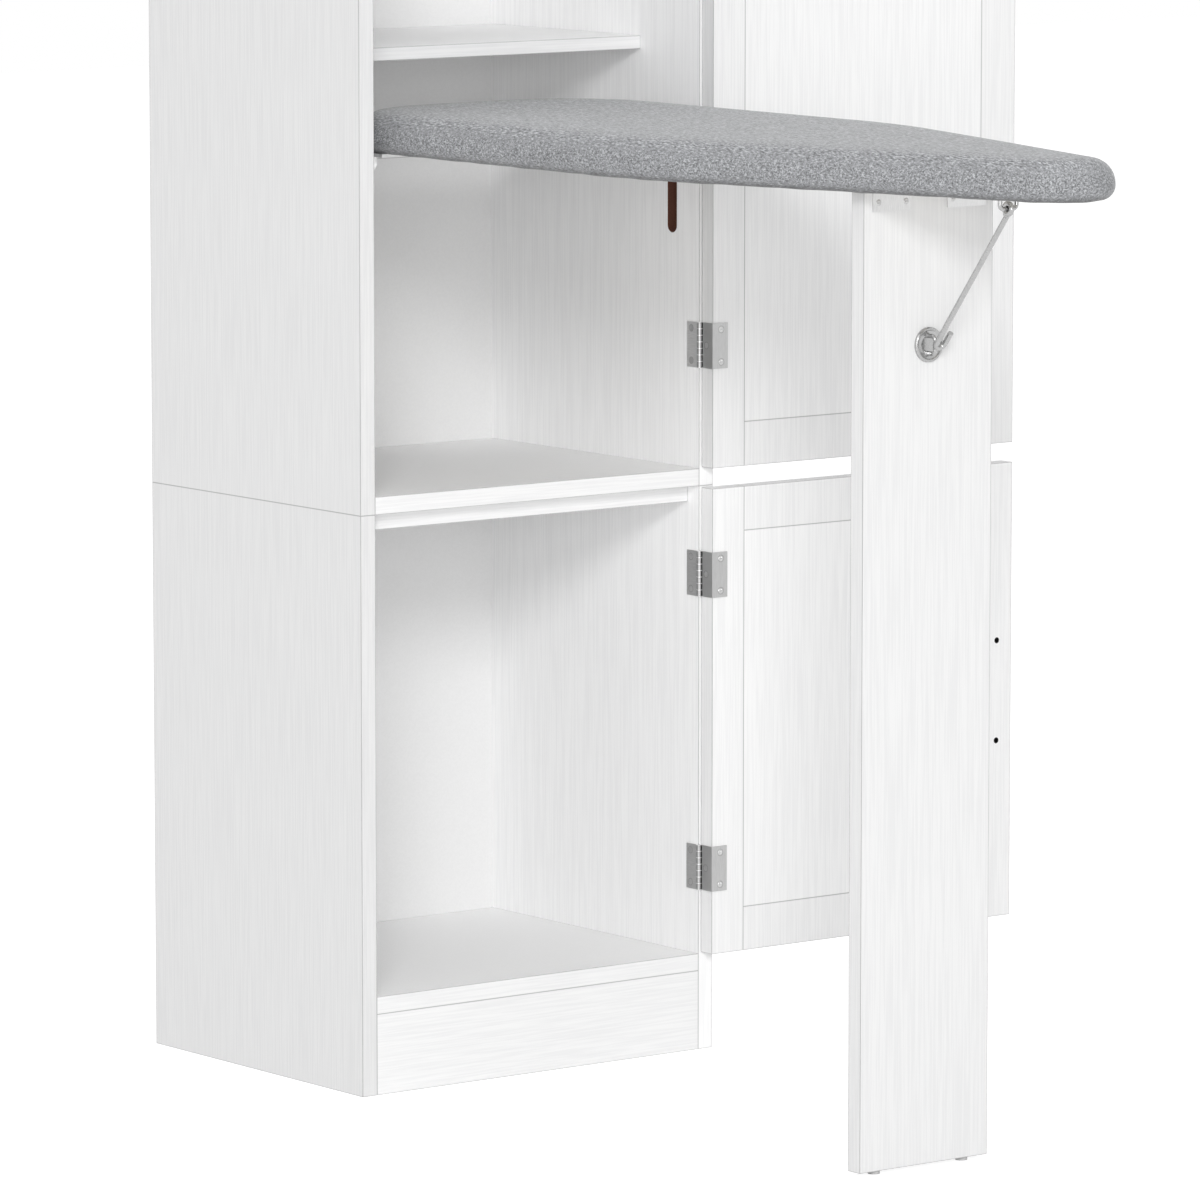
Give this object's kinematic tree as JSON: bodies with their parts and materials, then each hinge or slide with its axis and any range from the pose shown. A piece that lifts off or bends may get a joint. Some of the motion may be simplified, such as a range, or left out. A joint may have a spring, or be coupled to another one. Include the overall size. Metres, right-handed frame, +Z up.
{
  "type": "ironing board cabinet",
  "caption": "Tall white cabinet with two framed doors and a padded ironing board that swings down on a folding leg held by a wire stay.",
  "frame": {"origin": "on the floor, midway between the side panels, in the plane of the side panels' front edges", "axes": "+Z up, +X to the right seen from the front, -Y out of the cabinet towards the user"},
  "size_m": [0.7475, 1.094, 1.78],
  "materials": {
    "cabinet_laminate": "white laminate with a fine brushed wood grain",
    "door_laminate": "white laminate with a fine brushed wood grain",
    "leg_laminate": "white laminate with a fine brushed wood grain",
    "back_board": "white-faced hardboard",
    "shelf_laminate": "white laminate",
    "hinge_steel": "satin steel",
    "hinge_wrap_steel": "satin steel",
    "handle_steel": "brushed steel",
    "bracket_steel": "zinc-plated steel",
    "stay_wire": "satin chrome wire",
    "cover_fabric": "heathered grey woven cover over padding",
    "deck_board": "plain chipboard",
    "grey_plastic": "grey nylon"
  },
  "bodies": {
    "cabinet": {"lower_left_side": "cabinet_laminate", "lower_right_side": "cabinet_laminate", "plinth_board": "cabinet_laminate", "lower_bottom_panel": "cabinet_laminate", "lower_top_panel": "cabinet_laminate", "lower_back_panel": "back_board", "upper_left_side": "cabinet_laminate", "upper_right_side": "cabinet_laminate", "upper_bottom_panel": "cabinet_laminate", "upper_top_panel": "cabinet_laminate", "upper_back_panel": "back_board", "tail_rail": "cabinet_laminate", "wall_rail": "cabinet_laminate", "shelf_1": "shelf_laminate", "shelf_2": "shelf_laminate", "shelf_3": "shelf_laminate", "shelf_pins": "hinge_steel", "upper_fixed_leaves": "hinge_steel", "upper_hinge_pins": "hinge_steel", "lower_fixed_leaves": "hinge_steel", "lower_hinge_pins": "hinge_steel"},
    "upper_door": {"upper_hinge_stile": "door_laminate", "upper_lock_stile": "door_laminate", "upper_top_rail": "door_laminate", "upper_bottom_rail": "door_laminate", "upper_field_panel": "door_laminate", "upper_wrap_leaves": "hinge_wrap_steel", "upper_handle": "handle_steel"},
    "lower_door": {"lower_hinge_stile": "door_laminate", "lower_lock_stile": "door_laminate", "lower_top_rail": "door_laminate", "lower_bottom_rail": "door_laminate", "lower_field_panel": "door_laminate", "lower_wrap_leaves": "hinge_wrap_steel", "lower_handle": "handle_steel"},
    "left_carriage": {"left_slider": "grey_plastic"},
    "right_carriage": {"right_slider": "grey_plastic"},
    "board": {"board_deck": "deck_board", "board_pad": "cover_fabric", "left_bracket": "bracket_steel", "right_bracket": "bracket_steel", "pivot_pins": "bracket_steel", "leg_fixed_leaves": "hinge_steel", "leg_hinge_pins": "hinge_steel", "stay_staple": "stay_wire"},
    "leg": {"leg_panel": "leg_laminate", "leg_glides": "grey_plastic", "leg_wrap_leaves": "hinge_wrap_steel", "hook_plate": "stay_wire"},
    "stay": {"stay_hook": "stay_wire"}
  },
  "joints": [
    {"name": "upper_door_swing", "type": "hinge", "parent": "cabinet", "child": "upper_door", "pos_m": [0.184, -0.0005, 1.16175], "axis": [0, 0, -1], "range_deg": [0, 90]},
    {"name": "lower_door_swing", "type": "hinge", "parent": "cabinet", "child": "lower_door", "pos_m": [0.184, -0.0005, 0.30875], "axis": [0, 0, -1], "range_deg": [0, 180]},
    {"name": "board_lift", "type": "slide", "parent": "cabinet", "child": "left_carriage", "axis": [0, 0, 1], "range_m": [-0.02, 0]},
    {"name": "right_lift", "type": "slide", "parent": "cabinet", "child": "right_carriage", "axis": [0, 0, 1], "range_m": [-0.02, 0]},
    {"name": "board_swing", "type": "hinge", "parent": "left_carriage", "child": "board", "pos_m": [0, 0.0407, 0.84], "axis": [-1, 0, 0], "range_deg": [0, 90]},
    {"name": "leg_fold", "type": "hinge", "parent": "board", "child": "leg", "pos_m": [0, -0.533, 0.848], "axis": [1, 0, 0], "range_deg": [0, 90]},
    {"name": "stay_swing", "type": "hinge", "parent": "board", "child": "stay", "pos_m": [-0.008, -0.663, 0.8365], "axis": [-1, 0, 0], "range_deg": [0, 128]}
  ],
  "couplings": [
    {"joint": "right_lift", "follows": "board_lift", "ratio": 1},
    {"joint": "leg_fold", "follows": "board_swing", "ratio": 1}
  ]
}
